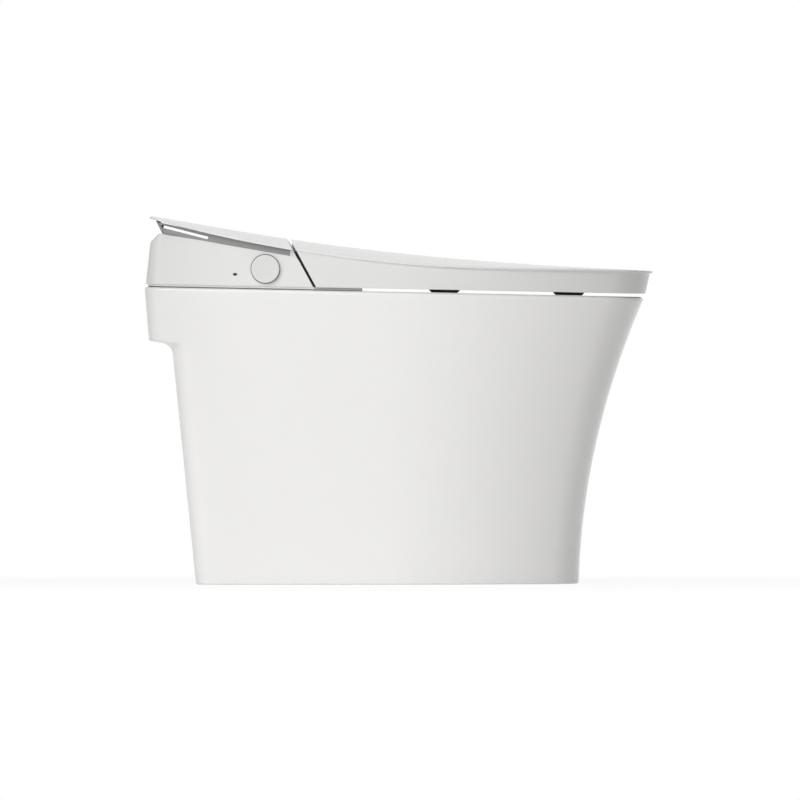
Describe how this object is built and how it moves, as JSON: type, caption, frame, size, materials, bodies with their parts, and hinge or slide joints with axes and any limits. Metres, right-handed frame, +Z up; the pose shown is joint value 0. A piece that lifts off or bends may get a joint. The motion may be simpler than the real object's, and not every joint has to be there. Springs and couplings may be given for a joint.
{
  "type": "smart toilet with heated seat",
  "caption": "Floor-standing skirted toilet with a sloping rear housing, side knob, washing wands, warm-air dryer, heated seat and crowned lid.",
  "frame": {"origin": "on the floor, under the centre of the bounding box", "axes": "+Z up, +Y towards the wall behind the toilet, the bowl faces -Y, the knob is on the -X side"},
  "size_m": [0.396, 0.6906, 0.4995],
  "materials": {
    "glazed_ceramic": "gloss",
    "white_gloss": "gloss",
    "white_plastic": "satin",
    "grey_plastic": "satin",
    "dark_plastic": "satin",
    "natural_plastic": "matte",
    "dark_rubber": "matte",
    "grey_rubber": "matte",
    "steel": "brushed",
    "steel_case": "satin",
    "brass": "satin",
    "copper_film": "satin",
    "board_green": "satin",
    "carbon": "matte",
    "smoked_lens": "gloss"
  },
  "bodies": {
    "root": {"ceramic_body": "glazed_ceramic", "floor_gasket": "dark_rubber", "base_gasket": "grey_rubber", "base_plate": "grey_plastic", "base_screws": "steel", "housing_cover": "white_plastic", "rear_top_plate": "white_gloss", "plate_riser": "grey_plastic", "hinge_bracket_left": "grey_plastic", "hinge_bracket_right": "grey_plastic", "lid_damper": "dark_plastic", "seat_damper": "dark_plastic", "knob_encoder": "dark_plastic", "indicator_lens": "smoked_lens", "wand_guide": "grey_plastic", "rear_wand_motor": "steel_case", "front_wand_motor": "steel_case", "works_tray": "grey_plastic", "dryer_housing": "dark_plastic", "dryer_motor": "steel_case", "deodoriser_housing": "dark_plastic", "carbon_filter": "carbon", "water_heater": "grey_plastic", "wash_pump": "steel_case", "power_supply": "steel_case", "control_board": "board_green", "flush_pump": "dark_plastic", "inlet_valve": "brass", "cable_gland": "dark_plastic"},
    "seat": {"seat_bottom_shell": "white_plastic", "seat_top_shell": "white_gloss", "seat_heater": "copper_film", "seat_bumpers": "dark_rubber", "seat_arm_left": "white_plastic", "seat_arm_right": "white_plastic", "seat_hinge_shaft": "steel"},
    "lid": {"lid_shell": "white_gloss", "lid_inner_panel": "white_gloss", "lid_bumpers": "dark_rubber", "lid_arm_left": "white_plastic", "lid_arm_right": "white_plastic", "lid_hinge_shaft": "steel"},
    "knob_sleeve": {"knob_plunger": "dark_plastic"},
    "knob": {"knob_cap": "white_plastic", "knob_shaft": "steel"},
    "rear_wand_body": {"rear_wand": "white_plastic", "rear_wand_tip": "white_gloss"},
    "front_wand_body": {"front_wand": "white_plastic", "front_wand_tip": "white_gloss"},
    "rear_pinion_body": {"rear_pinion": "natural_plastic"},
    "front_pinion_body": {"front_pinion": "natural_plastic"},
    "dryer_fan": {"dryer_impeller": "natural_plastic"},
    "deodoriser_fan": {"deodoriser_impeller": "natural_plastic"},
    "dryer_door": {"dryer_flap": "white_plastic"}
  },
  "joints": [
    {"name": "seat_hinge", "type": "hinge", "parent": "root", "child": "seat", "pos_m": [0, 0.1669, 0.4549], "axis": [1, 0, 0], "range_deg": [-88, 0]},
    {"name": "lid_hinge", "type": "hinge", "parent": "seat", "child": "lid", "pos_m": [0, 0.1669, 0.4549], "axis": [-1, 0, 0], "range_deg": [0, 94]},
    {"name": "knob_push", "type": "slide", "parent": "root", "child": "knob_sleeve", "axis": [1, 0, 0], "range_m": [0, 0.002], "stiffness_N_per_m": 800, "springref_m": -0.001},
    {"name": "knob_turn", "type": "hinge", "parent": "knob_sleeve", "child": "knob", "pos_m": [-0.1926, 0.1805, 0.4277], "axis": [-1, 0, 0], "continuous": true},
    {"name": "rear_wand_slide", "type": "slide", "parent": "root", "child": "rear_wand_body", "axis": [0, -0.9511, -0.309], "range_m": [0, 0.11]},
    {"name": "front_wand_slide", "type": "slide", "parent": "root", "child": "front_wand_body", "axis": [0, -0.9511, -0.309], "range_m": [0, 0.11]},
    {"name": "rear_pinion_spin", "type": "hinge", "parent": "root", "child": "rear_pinion_body", "pos_m": [0.016, 0.14347, 0.4191], "axis": [-1, 0, 0], "range_deg": [0, 1051]},
    {"name": "front_pinion_spin", "type": "hinge", "parent": "root", "child": "front_pinion_body", "pos_m": [-0.016, 0.14347, 0.4191], "axis": [-1, 0, 0], "range_deg": [0, 1051]},
    {"name": "dryer_fan_spin", "type": "hinge", "parent": "root", "child": "dryer_fan", "pos_m": [0.085, 0.22154, 0.42104], "axis": [0, -0.0205, 0.9998], "continuous": true},
    {"name": "deodoriser_fan_spin", "type": "hinge", "parent": "root", "child": "deodoriser_fan", "pos_m": [-0.155, 0.24558, 0.41954], "axis": [0, -0.0205, 0.9998], "continuous": true},
    {"name": "dryer_flap_hinge", "type": "hinge", "parent": "root", "child": "dryer_door", "pos_m": [0.067, 0.13047, 0.42368], "axis": [-1, 0, 0], "range_deg": [0, 50]}
  ],
  "couplings": [
    {"joint": "rear_pinion_spin", "follows": "rear_wand_slide", "rad_per_m": 166.67},
    {"joint": "front_pinion_spin", "follows": "front_wand_slide", "rad_per_m": 166.67}
  ]
}
